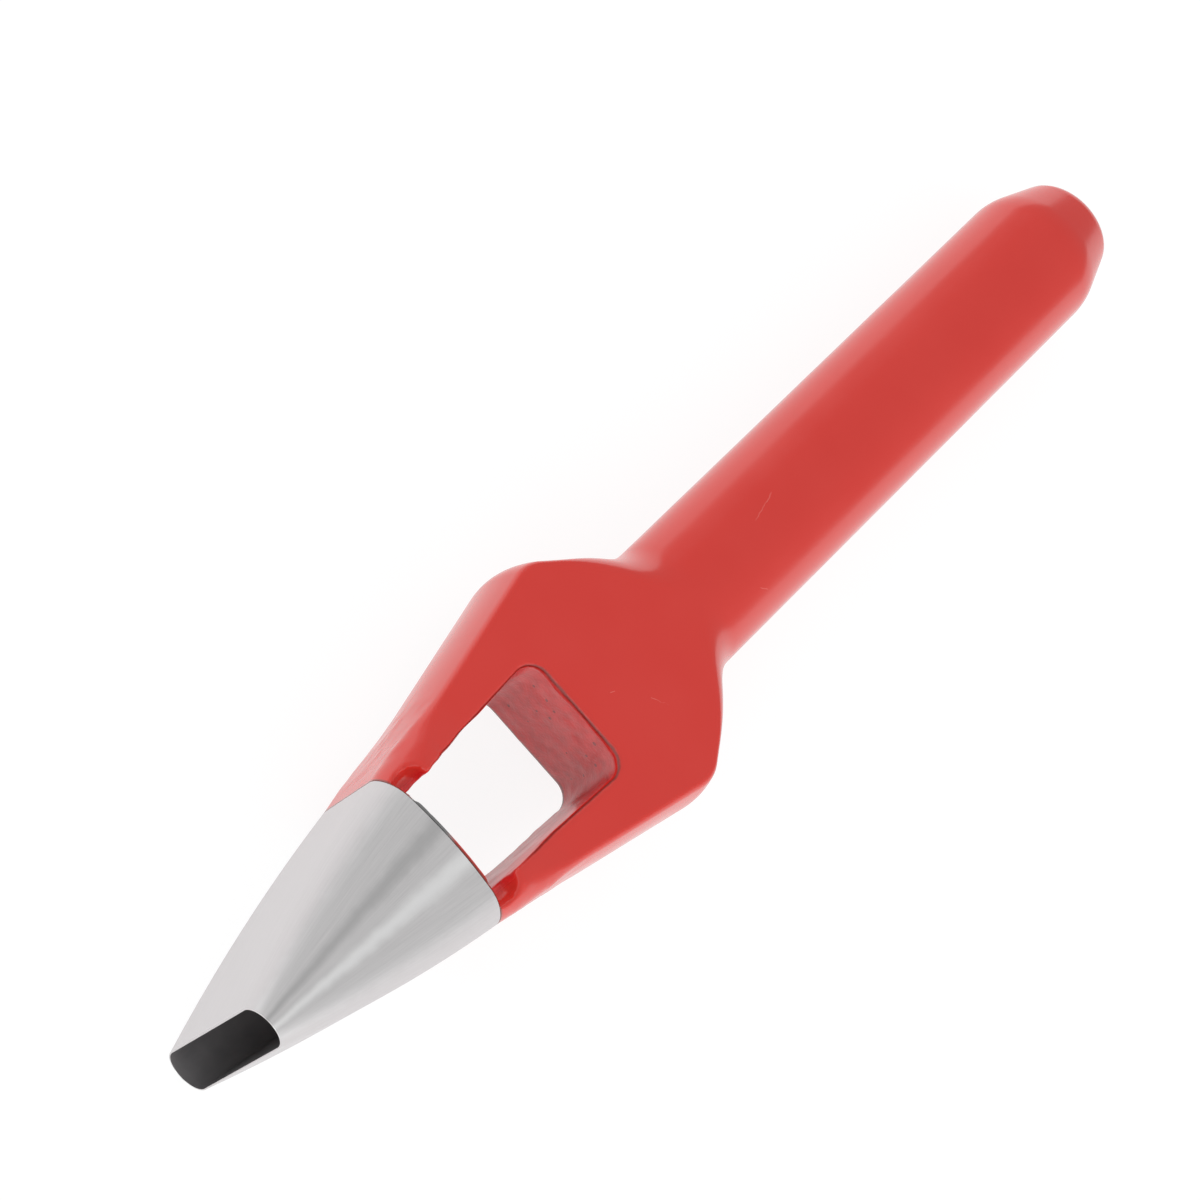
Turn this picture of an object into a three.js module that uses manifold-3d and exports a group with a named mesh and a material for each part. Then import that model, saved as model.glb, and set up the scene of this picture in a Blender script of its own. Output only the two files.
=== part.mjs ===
// Oblong hollow punch: a one-piece steel forging with a coat of red lacquer over all but the tip.
// Millimetres. X runs along the tool from the cutting mouth to the struck end, Y across its broad
// front, Z through its thickness. The tool lies on its back with the broad front facing up.
import * as THREE from 'three';
import { mergeVertices } from 'three/addons/utils/BufferGeometryUtils.js';
import Module from 'manifold-3d';

const wasm = await Module();
wasm.setup();

// Driving dimensions along the tool
const overallLength = 153;
const bellHeight = 30;
const windowLength = 23.5;
const shoulderHeight = 60;
const neckLength = 12.5;
const struckTaperLength = 7.5;

// Cutting mouth and the bell above it
const slotWidth = 5;
const slotLength = 25;
const edgeLand = 0.15;
const bellWidth = 20;
const bellDepth = 22;
const bellCorner = 3.6;
const bellCrown = 1.6;
const bellBow = 1.3;
const rimWall = 2.3;
const boreLedge = 0.25;

// Window, arms and shoulders
const armThickness = 3.4;
const windowTopWidth = 15.4;
const windowTopCorner = 3.6;
const windowFootCorner = 1.2;
const windowEdgeRound = 0.8;
const shoulderWidth = 32.6;
const shoulderRound = 4;
const shoulderEdgeLength = 4;
const neckFillet = 3;
const bladeThickness = 14.6;
const bladeEdgeRound = 0.7;
const bladeBlendLength = 13;
const sideDraft = 1.2;

// Hollows where the arms leave the bell, at the window's foot on the front and the back
const scoopLength = 3.2;
const scoopWidth = 3;
const scoopDepth = 2.4;
const scoopRise = 2;

// Round shank and struck end
const shankDiameter = 16.6;
const struckDiameter = 12.4;
const struckTaperEase = 1.6;
const struckEdgeRound = 1.5;

// Lacquer, drawn thicker than it is sprayed, and its parting from the steel
const coatThickness = 0.3;
const coatClearance = 0.1;

// Fineness of the curves, and how far a cutting body runs past what it cuts
const cornerSteps = 7;
const frontSteps = 4;
const sideSteps = 2;
const bowSteps = 5;
const blendSteps = 8;
const neckSteps = 5;
const edgeSteps = 3;
const scoopSegments = 16;
const cutOvershoot = 2;
const weldDistance = 0.0005;

// Half sizes and places that several forms share
const mouthHalfWidth = slotWidth / 2 + edgeLand;
const mouthHalfDepth = slotLength / 2 + edgeLand;
const bellHalfWidth = bellWidth / 2;
const bellSideDepth = bellDepth / 2 - bellCrown;
const shoulderHalfWidth = shoulderWidth / 2;
const bladeHalfThickness = bladeThickness / 2;
const shankRadius = shankDiameter / 2;
const struckRadius = struckDiameter / 2;
const windowFootHalfWidth = bellHalfWidth - armThickness;
const windowTop = bellHeight + windowLength;
const bladeStart = bellHeight + bladeBlendLength;
const shoulderEdgeEnd = shoulderHeight + shoulderEdgeLength;
const neckHeight = shoulderHeight + neckLength;
const neckEnd = neckHeight + neckFillet;
const taperStart = overallLength - struckTaperLength;
const paintLine = bellHeight - coatThickness;
const coreInset = coatThickness + coatClearance;
const restHeight = Math.max(mouthHalfDepth, bellDepth / 2, shankRadius);

// A closed body skinned over rings of points, with a flat cap on its first and last ring
function loft(rings) {
  const count = rings[0].length;
  const points = rings.flat();
  const corners = [];
  for (let ring = 0; ring + 1 < rings.length; ring += 1) {
    const low = ring * count;
    const high = low + count;
    for (let side = 0; side < count; side += 1) {
      const next = (side + 1) % count;
      corners.push(low + side, low + next, high + next);
      corners.push(low + side, high + next, high + side);
    }
  }
  const lastRing = (rings.length - 1) * count;
  const firstCentre = points.length;
  const lastCentre = firstCentre + 1;
  points.push(ringCentre(rings[0]), ringCentre(rings[rings.length - 1]));
  for (let side = 0; side < count; side += 1) {
    const next = (side + 1) % count;
    corners.push(firstCentre, next, side);
    corners.push(lastCentre, lastRing + side, lastRing + next);
  }
  const geometry = new THREE.BufferGeometry().setFromPoints(points);
  geometry.setIndex(corners);
  return solidFrom(geometry);
}

function ringCentre(ring) {
  const centre = new THREE.Vector3();
  ring.forEach((point) => centre.add(point));
  return centre.divideScalar(ring.length);
}

// Welds points that meet, and drops the triangles that close up where a straight side runs out
function solidFrom(geometry) {
  const welded = mergeVertices(geometry, weldDistance);
  const index = welded.index.array;
  const corners = [];
  for (let at = 0; at < index.length; at += 3) {
    const [a, b, c] = [index[at], index[at + 1], index[at + 2]];
    if (a !== b && b !== c && c !== a) {
      corners.push(a, b, c);
    }
  }
  const vertProperties = Float32Array.from(welded.attributes.position.array);
  const triVerts = Uint32Array.from(corners);
  return new wasm.Manifold(new wasm.Mesh({ numProp: 3, vertProperties, triVerts }));
}

function geometryFrom(solid) {
  const { vertProperties, triVerts } = solid.getMesh();
  const geometry = new THREE.BufferGeometry();
  geometry.setAttribute('position', new THREE.BufferAttribute(vertProperties, 3));
  geometry.setIndex(new THREE.BufferAttribute(triVerts, 1));
  geometry.computeVertexNormals();
  return geometry;
}

// A value that runs straight from one size to another between two places along the tool
function straight(x, start, end, from, to) {
  return THREE.MathUtils.mapLinear(x, start, end, from, to);
}

// The same with a soft start and a soft end
function eased(x, start, end, from, to) {
  return THREE.MathUtils.lerp(from, to, THREE.MathUtils.smoothstep(x, start, end));
}

// The angle on a circle where a line from a point outside it touches, on the wanted side
function touchAngle(from, centre, radius, side) {
  const away = from.clone().sub(centre);
  return away.angle() + side * Math.acos(radius / away.length());
}

// Half of the front outline: bowed bell, straight arms, round shoulder, sharp neck, shank, struck taper
function frontOutline() {
  const rim = new THREE.Vector2(bellHeight, bellHalfWidth);
  const neck = new THREE.Vector2(neckHeight, shankRadius);
  const shoulder = new THREE.Vector2(shoulderHeight, shoulderHalfWidth - shoulderRound);
  const taper = new THREE.Vector2(taperStart, shankRadius);
  const armEnd = touchAngle(rim, shoulder, shoulderRound, -1);
  const fallStart = touchAngle(neck, shoulder, shoulderRound, 1);
  const fall = new THREE.Vector2(shoulderRound, 0).rotateAround(new THREE.Vector2(), fallStart).add(shoulder);
  const filletStart = fall.sub(neck).setLength(neckFillet).add(neck);
  const bow = (mouthHalfWidth + bellHalfWidth) / 2 + bellBow;
  const outline = new THREE.Path();
  outline.moveTo(0, mouthHalfWidth);
  outline.quadraticCurveTo(bellHeight / 2, bow, rim.x, rim.y);
  outline.absarc(shoulder.x, shoulder.y, shoulderRound, armEnd, fallStart, true);
  outline.lineTo(filletStart.x, filletStart.y);
  outline.quadraticCurveTo(neck.x, neck.y, neckEnd, shankRadius);
  const taperRun = new THREE.Vector2(overallLength - struckEdgeRound, struckRadius).sub(taper);
  const taperEased = taperRun.setLength(struckTaperEase).add(taper);
  outline.lineTo(taperStart - struckTaperEase, shankRadius);
  outline.quadraticCurveTo(taper.x, taper.y, taperEased.x, taperEased.y);
  outline.lineTo(overallLength - struckEdgeRound, struckRadius);
  outline.quadraticCurveTo(
    overallLength, struckRadius - struckEdgeRound / 2, overallLength, struckRadius - struckEdgeRound);
  return outline.getPoints(bowSteps);
}

const outlinePoints = frontOutline();

function halfWidthAt(x) {
  const after = Math.max(1, outlinePoints.findIndex((point) => point.x >= x));
  const low = outlinePoints[after - 1];
  const high = outlinePoints[after];
  return straight(x, low.x, high.x, low.y, high.y);
}

// The section across the tool: a rounded rectangle that starts as the mouth's round-ended slot,
// swells into the bell, flattens into the arms and shoulders, and turns into the round shank
function sectionAt(x) {
  const halfWidth = halfWidthAt(x);
  if (x <= bellHeight) {
    return {
      halfWidth,
      halfDepth: straight(x, 0, bellHeight, mouthHalfDepth, bellSideDepth),
      corner: straight(x, 0, bellHeight, mouthHalfWidth, bellCorner),
      crown: straight(x, 0, bellHeight, 0, bellCrown),
      draft: 0,
    };
  }
  if (x <= shoulderHeight) {
    return {
      halfWidth,
      halfDepth: eased(x, bellHeight, bladeStart, bellSideDepth, bladeHalfThickness),
      corner: eased(x, bellHeight, bladeStart, bellCorner, bladeEdgeRound),
      crown: eased(x, bellHeight, bladeStart, bellCrown, 0),
      draft: eased(x, bellHeight, bladeStart, 0, sideDraft),
    };
  }
  if (x < neckEnd) {
    return {
      halfWidth,
      halfDepth: eased(x, shoulderHeight, neckEnd, bladeHalfThickness, shankRadius),
      corner: eased(x, shoulderEdgeEnd, neckEnd, bladeEdgeRound, shankRadius),
      crown: 0,
      draft: eased(x, shoulderEdgeEnd, neckEnd, sideDraft, 0),
    };
  }
  return { halfWidth, halfDepth: halfWidth, corner: halfWidth, crown: 0, draft: 0 };
}

// Points round a rounded rectangle, corner by corner, with its broad faces crowned outwards
// and its sides leaning in from the middle as a forging die leaves them
function sectionRing(x, section, inset) {
  const halfWidth = section.halfWidth - inset;
  const halfDepth = section.halfDepth - inset;
  const corner = Math.min(Math.max(section.corner - inset, inset), halfWidth, halfDepth);
  const flatWidth = halfWidth - corner;
  const flatDepth = halfDepth - corner;
  const ring = [];
  for (let quarter = 0; quarter < 4; quarter += 1) {
    const ySign = quarter === 0 || quarter === 3 ? 1 : -1;
    const zSign = quarter < 2 ? 1 : -1;
    for (let step = 0; step <= cornerSteps; step += 1) {
      const angle = (quarter + step / cornerSteps) * Math.PI / 2;
      const y = ySign * flatWidth + corner * Math.cos(angle);
      const z = zSign * flatDepth + corner * Math.sin(angle);
      ring.push({ y, z });
    }
    const broad = quarter % 2 === 0;
    const steps = broad ? frontSteps : sideSteps;
    for (let step = 1; step < steps; step += 1) {
      const run = 1 - 2 * step / steps;
      const y = ySign * (broad ? flatWidth * run : halfWidth);
      const z = zSign * (broad ? halfDepth : flatDepth * run);
      ring.push({ y, z });
    }
  }
  return ring.map(({ y, z }) => {
    const across = y / halfWidth;
    const through = z / halfDepth;
    const lean = section.draft * Math.abs(through) * across;
    const bulge = section.crown * through * (1 - across ** 2);
    return new THREE.Vector3(x, y - lean, z + bulge);
  });
}

// Places along the tool where its section is drawn, closer together where it changes
function stationsBetween(start, end) {
  const places = outlinePoints.map((point) => point.x);
  for (let step = 1; step <= blendSteps; step += 1) {
    places.push(straight(step, 0, blendSteps, bellHeight, bladeStart));
  }
  places.push(shoulderHeight);
  for (let step = 0; step < neckSteps; step += 1) {
    places.push(straight(step, 0, neckSteps, shoulderEdgeEnd, neckEnd));
  }
  const inner = places.filter((x) => x > start && x < end).sort((a, b) => a - b);
  const apart = inner.filter((x, at) => at === 0 || x - inner[at - 1] > weldDistance);
  return [start, ...apart, end];
}

// Rings of the outer form, drawn in all round and at the struck end by an inset
function ringsBetween(start, end, inset) {
  return stationsBetween(start, end).map((x) => {
    const pull = Math.max(0, straight(x, taperStart, overallLength, 0, inset));
    return sectionRing(x - pull, sectionAt(x), inset);
  });
}

// The window's outline at one height, let out at the sides and top, let down at the foot,
// and flared at the top more than at the foot
function windowRing(z, letOut, letDown, flare) {
  const foot = bellHeight - letDown;
  const footHalf = windowFootHalfWidth + letOut;
  const top = windowTop + letOut + flare;
  const topHalf = windowTopWidth / 2 + letOut + flare;
  const topCorner = windowTopCorner + letOut + flare;
  const outline = new THREE.Path();
  outline.moveTo(foot, windowFootCorner - footHalf);
  outline.quadraticCurveTo(foot, -footHalf, foot + windowFootCorner, -footHalf);
  outline.lineTo(top - topCorner, -topHalf);
  outline.quadraticCurveTo(top, -topHalf, top, topCorner - topHalf);
  outline.lineTo(top, topHalf - topCorner);
  outline.quadraticCurveTo(top, topHalf, top - topCorner, topHalf);
  outline.lineTo(foot + windowFootCorner, footHalf);
  outline.quadraticCurveTo(foot, footHalf, foot, footHalf - windowFootCorner);
  return outline.getPoints(cornerSteps).map((point) => new THREE.Vector3(point.x, point.y, z));
}

// The body that cuts the window, flared at the front and back so that its edges are rounded over
function windowCutter(letOut, letDown) {
  const face = bladeHalfThickness - letOut;
  const upper = [];
  for (let step = 0; step <= edgeSteps; step += 1) {
    const angle = (step / edgeSteps) * Math.PI / 2;
    const height = face - windowEdgeRound * (1 - Math.sin(angle));
    upper.push({ height, flare: windowEdgeRound * (1 - Math.cos(angle)) });
  }
  upper.push({ height: bellDepth, flare: windowEdgeRound });
  const lower = upper.map(({ height, flare }) => ({ height: -height, flare })).reverse();
  return loft([...lower, ...upper].map(({ height, flare }) => windowRing(height, letOut, letDown, flare)));
}

// The four round bodies that cut the hollows, grown all round by an amount
function scoopCutters(grow) {
  const y = windowFootHalfWidth;
  const sides = [[1, 1], [1, -1], [-1, 1], [-1, -1]];
  const scoops = sides.map(([ySign, zSign]) => {
    const ball = new THREE.SphereGeometry(1, scoopSegments, scoopSegments / 2);
    ball.deleteAttribute('normal');
    ball.deleteAttribute('uv');
    ball.scale(scoopLength / 2 + grow, scoopWidth / 2 + grow, scoopDepth + grow);
    ball.translate(bellHeight + scoopRise, ySign * y, zSign * bellSideDepth);
    return solidFrom(ball);
  });
  return scoops.reduce((joined, scoop) => joined.add(scoop));
}

// The body that cuts the bore, from the slot at the mouth to the wider oval under the window
function boreCutter() {
  const mouth = { halfWidth: slotWidth / 2, halfDepth: slotLength / 2 };
  const throat = { halfWidth: windowFootHalfWidth - boreLedge, halfDepth: bellDepth / 2 - rimWall };
  const places = [[-cutOvershoot, mouth], [0, mouth], [bellHeight, throat], [bellHeight + cutOvershoot, throat]];
  return loft(places.map(([x, { halfWidth, halfDepth }]) => {
    return sectionRing(x, { halfWidth, halfDepth, corner: halfWidth, crown: 0, draft: 0 }, 0);
  }));
}

// The forging: full size at the bare tip, drawn in under the lacquer from the paint line up
function forgedSteel() {
  const tip = ringsBetween(0, paintLine - coatClearance, 0);
  const core = ringsBetween(paintLine - coatClearance, overallLength, coreInset);
  const blank = loft([...tip, ...core]).subtract(scoopCutters(coreInset));
  return blank.subtract(windowCutter(coreInset, coreInset)).subtract(boreCutter());
}

// The lacquer: a thin shell from the paint line to the struck end that also lines the window
function lacquerCoat() {
  const skin = loft(ringsBetween(paintLine, overallLength, 0)).subtract(scoopCutters(0));
  const outer = skin.subtract(windowCutter(0, 0));
  const inner = loft(ringsBetween(paintLine - cutOvershoot, overallLength, coatThickness));
  const hollow = inner.subtract(windowCutter(coatThickness, coatThickness + coatClearance / 2));
  return outer.subtract(hollow.subtract(scoopCutters(coatThickness))).subtract(boreCutter());
}

function piece(name, solid, material) {
  const mesh = new THREE.Mesh(geometryFrom(solid), material);
  mesh.name = name;
  return mesh;
}

const groundSteel = new THREE.MeshStandardMaterial({ color: 0xb4b5b6, metalness: 1, roughness: 0.38 });
const redLacquer = new THREE.MeshStandardMaterial({ color: 0xc63b36, metalness: 0, roughness: 0.28 });

const punch = new THREE.Group();
punch.add(piece('forged_steel', forgedSteel(), groundSteel));
punch.add(piece('lacquer_coat', lacquerCoat(), redLacquer));
punch.position.set(-overallLength / 2, 0, restHeight);

export default punch;
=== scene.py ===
import math

import bmesh
import bpy
import numpy as np
from mathutils import Matrix, Vector


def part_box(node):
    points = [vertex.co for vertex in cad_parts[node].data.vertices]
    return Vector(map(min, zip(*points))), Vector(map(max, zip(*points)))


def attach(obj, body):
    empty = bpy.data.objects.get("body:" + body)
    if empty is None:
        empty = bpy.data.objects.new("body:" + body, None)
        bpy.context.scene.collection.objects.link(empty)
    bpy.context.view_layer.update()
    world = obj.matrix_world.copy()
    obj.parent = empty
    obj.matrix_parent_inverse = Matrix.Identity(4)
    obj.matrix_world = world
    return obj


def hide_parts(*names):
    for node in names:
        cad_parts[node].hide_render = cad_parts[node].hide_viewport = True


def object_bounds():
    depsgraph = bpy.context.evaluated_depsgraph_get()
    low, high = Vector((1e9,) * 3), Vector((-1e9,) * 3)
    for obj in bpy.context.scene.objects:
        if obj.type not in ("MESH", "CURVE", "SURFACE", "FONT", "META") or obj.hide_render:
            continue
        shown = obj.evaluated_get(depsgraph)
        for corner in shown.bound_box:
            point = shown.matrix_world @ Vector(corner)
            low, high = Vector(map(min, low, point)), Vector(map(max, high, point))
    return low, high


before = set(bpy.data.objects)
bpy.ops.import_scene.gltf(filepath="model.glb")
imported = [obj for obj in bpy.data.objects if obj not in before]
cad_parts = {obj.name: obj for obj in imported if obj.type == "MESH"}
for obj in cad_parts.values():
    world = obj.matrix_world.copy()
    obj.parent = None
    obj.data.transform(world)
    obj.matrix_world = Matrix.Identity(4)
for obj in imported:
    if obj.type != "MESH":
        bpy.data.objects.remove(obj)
cad_low, cad_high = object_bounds()

MM = 0.001

# Sizes that the frame gives
coat_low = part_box("lacquer_coat")[0]
LENGTH = (cad_high.x - cad_low.x) / MM
AXIS_HEIGHT = (cad_high.z - cad_low.z) / 2 / MM
SHOULDER_HALF_WIDTH = cad_high.y / MM
PAINT_LINE = (coat_low.x - cad_low.x) / MM

# Places along the tool
BELL_HEIGHT = 30.0
WINDOW_TOP = 53.5
BLADE_START = 43.0
SHOULDER_HEIGHT = 60.0
CRISP_EDGE_END = 64.0
NECK_HEIGHT = 72.5
NECK_FILLET = 3.0
NECK_END = NECK_HEIGHT + NECK_FILLET
TAPER_START = 145.5
TAPER_EASE = 1.6

# Half sizes and radii of the outer form
SLOT_HALF_WIDTH = 2.5
EDGE_LAND = 0.15
MOUTH_HALF_WIDTH = SLOT_HALF_WIDTH + EDGE_LAND
MOUTH_HALF_DEPTH = AXIS_HEIGHT
BELL_HALF_WIDTH = 10.0
BELL_SIDE_DEPTH = 9.4
BELL_CORNER = 3.6
BELL_CROWN = 1.6
BELL_BOW = 1.3
SHOULDER_ROUND = 4.0
BLADE_HALF_THICKNESS = 7.3
BLADE_EDGE_ROUND = 0.7
SIDE_DRAFT = 1.2
SHANK_RADIUS = 8.3
STRUCK_RADIUS = 5.7
STRUCK_EDGE_ROUND = 1.5

# Window, the scoops beside its foot, and the bore under it
WINDOW_FOOT_HALF_WIDTH = 6.6
WINDOW_TOP_HALF_WIDTH = 7.7
WINDOW_TOP_CORNER = 2.4
WINDOW_FOOT_CORNER = 1.2
WINDOW_EDGE_ROUND = 0.8
RIM_EDGE_ROUND = 0.05
SCOOP_PLACE = (31.3, 7.1, 9.5)
SCOOP_REACH = (2.2, 1.7, 2.4)
SCOOP_MELT = 0.7
SCOOP_LIP = 0.34
BORE_WALL = 2.3

# Depth at which the dark line round the window's back rim runs on the wall
BACK_LINE_DEPTH = 0.55

# Coat and steel where they part
COAT_THICKNESS = 0.28
CORE_INSET = 0.5
CORE_BEVEL = 1.0
PAINT_GROOVE = 0.08

# Unevenness of the forged and painted skin, on the window's wall and the lower arms
LUMP_SIZE = 3.2
LUMP_HEIGHT = 0.11
LUMP_SEED = 3
PIT_SIZE = 1.1
PIT_DEPTH = 0.06
PIT_SEED = 5
WALL_REACH = 1.3
WALL_START = 0.2
WALL_FADE = 0.8
FOOT_FADE = 2.0
LOW_ARM_START = BELL_HEIGHT + 1
LOW_ARM_END = BLADE_START + 4
LOW_ARM_FADE = 10.0
LOW_ARM_SHARE = 0.8

# Strip on the rim at the window's foot that is rubbed to bare metal
RUB_DEPTH = 0.15
RUB_DEPTH_FADE = 0.1
RUB_WIDTH = 0.6
RUB_WIDTH_FADE = 0.3
RUB_START = -0.5
RUB_START_FADE = 2.0
RUB_END_FADE = 0.5

# Fineness of the meshes
COAT_STEP = 0.3
COAT_MARGIN = 1.0
PAINT_LINE_MARGIN = 1.2
CUT_DISTANCE = 0.001
SECTION_ROUNDS = 3
SECTION_LIMIT = 1.2
SLOPE_REACH = 0.02
LEAST_SLOPE = 1e-6
RELAX_ROUNDS = 4
CREASE_HOLD = 0.05
CREASE_SHARE = 0.93
LACQUER_CREASE_DEGREES = 40
STEEL_CREASE_DEGREES = 25
CURVE_STEPS = 24
RING_CORNER_STEPS = 20
RING_FRONT_STEPS = 24
RING_SIDE_STEPS = 10
TIP_RINGS = 49
CORE_RINGS = 100
BORE_RINGS = 13
SCOOP_SEGMENTS = 24
CUTTER_OVERRUN = 2.0
LEAST_ROUND = 0.05
LEAST_FLAT = 0.01
NOISE_LATTICE = 32

# Scratches in the lacquer, each from one place on the skin to another
SCRATCHES = [
    ((39.9, 12.5, 7.6), (40.4, 12.2, 7.5)),
    ((40.4, 12.2, 7.5), (42.9, 11.5, 7.3)),
    ((61.2, -4.4, 7.3), (63.1, -7.7, 7.3)),
    ((90.0, 2.4, 7.95), (85.8, 1.5, 8.2)),
    ((81.2, -4.3, 7.1), (82.2, -5.1, 6.6)),
    ((57.9, -0.9, 7.3), (58.3, -1.1, 7.3)),
]
SCRATCH_WIDTH = 0.06
SCRATCH_SHARE = 0.25
SCRATCH_WANDER = (0.4, 0.4, 0.1)
SCRATCH_WANDER_SCALE = 1.1

# Specks of dirt on the window's wall
SPECK_SCALE = 0.55
SPECK_SIZES = (0.05, 0.14)
SPECK_CHANCE = 0.45

# Dark lines in the lacquer, by distance from the paint line and from the window's rims
PAINT_LINE_FADE = (0.1, 0.3)
PAINT_LINE_SHARE = 0.75
RIM_LINE_FADE = (0.05, 0.42)
RIM_LINE_SHARE = 0.95
RIM_LINE_WAVE = 0.4
RIM_LINE_START = (4, 9)

# Colours, in pairs where a surface varies between two
LACQUER_REDS = ((0.575, 0.028, 0.02, 1), (0.61, 0.033, 0.023, 1))
# Window wall reds: a mottle whose upper red is lifted as painted light, making up for the wall's shade
WINDOW_MOTTLED_LIT_REDS = ((0.44, 0.006, 0.006, 1), (0.8, 0.028, 0.028, 1))
PAINT_LINE_BROWN = (0.14, 0.03, 0.02, 1)
RIM_LINE_BROWN = (0.2, 0.014, 0.01, 1)
SPECK_BROWN = (0.28, 0.01, 0.008, 1)
SCRATCH_PINK = (0.85, 0.33, 0.28, 1)
RUBBED_METAL = (0.5, 0.5, 0.5, 1)
STEEL_GREYS = ((0.64, 0.63, 0.632, 1), (0.88, 0.865, 0.868, 1))
# Painted light on the ground steel: a dark reflection band, a highlight band, and painted shade on the
# sides
STEEL_PAINTED_DARK_REFLECTION = (0.4, 0.4, 0.4, 1)
STEEL_PAINTED_HIGHLIGHT = (0.99, 0.99, 0.99, 1)
STEEL_SIDE_SHADE = (0.42, 0.37, 0.38, 1)
BORE_GREYS = ((0.1, 0.1, 0.104, 1), (0.18, 0.17, 0.172, 1))

# Gloss and metal of the surfaces
LACQUER_IOR = 1.7
LACQUER_ROUGHNESS = (0.16, 0.22)
WINDOW_ADDED_ROUGHNESS = 0.12
STEEL_METALLIC = 0.6
STEEL_ROUGHNESS = (0.45, 0.55)
BORE_ROUGHNESS = (0.4, 0.6)

# Patterns in the surfaces: scales in bumps for each millimetre, and each bump's height and strength
NOISE_SPREAD = (0.3, 0.7)
CLOUD_SCALE = 0.11
MOTTLE_SCALE = 0.9
PEEL_SCALE = 0.55
GRAIN_SCALE = 3
GRAIN_TO_PEEL = 8
BLOTCH_SCALE = 0.5
FORGE_SCALE = 0.4
LACQUER_BUMP = (0.02, 0.3)
STEEL_BUMP = (0.012, 0.5)

# Grinding marks, stretched along the tool
GRIND_STRETCH = (70, 70, 24)

# Painted reflection bands on the ground steel, a dark one and a painted highlight, placed from -1 at one
# side of the front to 1 at the other; and painted shade towards the sides
REFLECTION_BAND_PLACE = 0.19
REFLECTION_BAND_REACH = 0.16
REFLECTION_BAND_WANDER = 0.08
DARK_REFLECTION_SHARE = 0.5
# Painted shade towards the sides of the steel's front
SIDE_SHADE_SPAN = (0.54, 0.7)
SIDE_SHADE_SHARE = 0.32

# Light levels, where 1 is white paper
WORLD_OVERHEAD = 0.34
CEILING_TOWARDS = (0.45, 0, 0.89)
CEILING_FADE = (0.05, 0.5)
WORLD_FILL = 0.72
FLOOR_PAPER = 0.85
FLOOR_SHADOW = 0.15
FLOOR_WHITE = 1.03

# Soft panels: direction from the tool, width and height in metres, and light level
PANEL_DISTANCE = 0.8
PANELS = {
    "left_panel": ((0.3, 0.85, 0.2), (0.7, 0.5), 3.1),
    "right_panel": ((0.1, -0.85, 0.3), (0.7, 0.5), 2.4),
    "front_panel": ((-0.8, -0.2, 0.5), (0.6, 0.5), 2.0),
}

# Floor, in metres
FLOOR_HALF_SIZE = 3.0
FLOOR_GAP = 0.00005


def smooth(share):
    """An even rise from 0 to 1 with level ends."""
    share = np.clip(share, 0, 1)
    return share * share * (3 - 2 * share)


def rounded_max(a, b, radius):
    """The intersection of two bodies, with the edge between them rounded over."""
    past = np.hypot(np.maximum(a + radius, 0), np.maximum(b + radius, 0))
    return np.minimum(np.maximum(a, b), -radius) + past


def soft_max(a, b, reach):
    """The intersection of two bodies, with the corner between them melted over a reach."""
    near = np.maximum(reach - np.abs(a - b), 0) / reach
    return np.maximum(a, b) + near * near * reach / 4


def lumps(x, y, z, size, seed):
    """Soft random heights between -1 and 1, about one bump for each size along any direction."""
    lattice = np.random.default_rng(seed).uniform(-1, 1, (NOISE_LATTICE,) * 3)
    places = [at / size for at in (x, y, z)]
    lows = [np.floor(place).astype(int) for place in places]
    shares = [smooth(place - low) for place, low in zip(places, lows)]
    total = 0
    for corner in np.ndindex(2, 2, 2):
        index = tuple((low + step) % NOISE_LATTICE for low, step in zip(lows, corner))
        weight = 1
        for share, step in zip(shares, corner):
            weight = weight * (share if step else 1 - share)
        total = total + weight * lattice[index]
    return total


def touch_angle(start, centre, radius, side):
    """The angle on a circle where a line from a point outside it touches."""
    away = start - centre
    return math.atan2(away[1], away[0]) + side * math.acos(radius / np.linalg.norm(away))


def bend(first, control, last):
    """Points on a smooth curve from one point to another, drawn towards a control point between them."""
    share = np.linspace(0, 1, CURVE_STEPS)[:, None]
    return (1 - share) ** 2 * first + 2 * share * (1 - share) * control + share ** 2 * last


def front_outline():
    """Half of the front: bowed bell, straight arms, round shoulder, neck, shank, struck taper."""
    mouth = np.array([0, MOUTH_HALF_WIDTH])
    rim = np.array([BELL_HEIGHT, BELL_HALF_WIDTH])
    bow = np.array([BELL_HEIGHT / 2, (MOUTH_HALF_WIDTH + BELL_HALF_WIDTH) / 2 + BELL_BOW])
    neck = np.array([NECK_HEIGHT, SHANK_RADIUS])
    shoulder = np.array([SHOULDER_HEIGHT, SHOULDER_HALF_WIDTH - SHOULDER_ROUND])
    arm_end = touch_angle(rim, shoulder, SHOULDER_ROUND, -1) % math.tau
    fall_start = touch_angle(neck, shoulder, SHOULDER_ROUND, 1)
    turn = np.linspace(arm_end, fall_start, CURVE_STEPS)
    arc = shoulder + SHOULDER_ROUND * np.c_[np.cos(turn), np.sin(turn)]
    fall = arc[-1] - neck
    fillet_start = neck + fall / np.linalg.norm(fall) * NECK_FILLET
    neck_end = np.array([NECK_END, SHANK_RADIUS])
    shank_end = np.array([TAPER_START, SHANK_RADIUS])
    struck = np.array([LENGTH, STRUCK_RADIUS])
    taper = (struck - shank_end) / np.linalg.norm(struck - shank_end)
    ease_start = shank_end - np.array([TAPER_EASE, 0])
    return np.vstack([
        bend(mouth, bow, rim),
        arc,
        bend(fillet_start, neck, neck_end),
        bend(ease_start, shank_end, shank_end + taper * TAPER_EASE),
        struck,
    ])


OUTLINE = front_outline()


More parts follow.
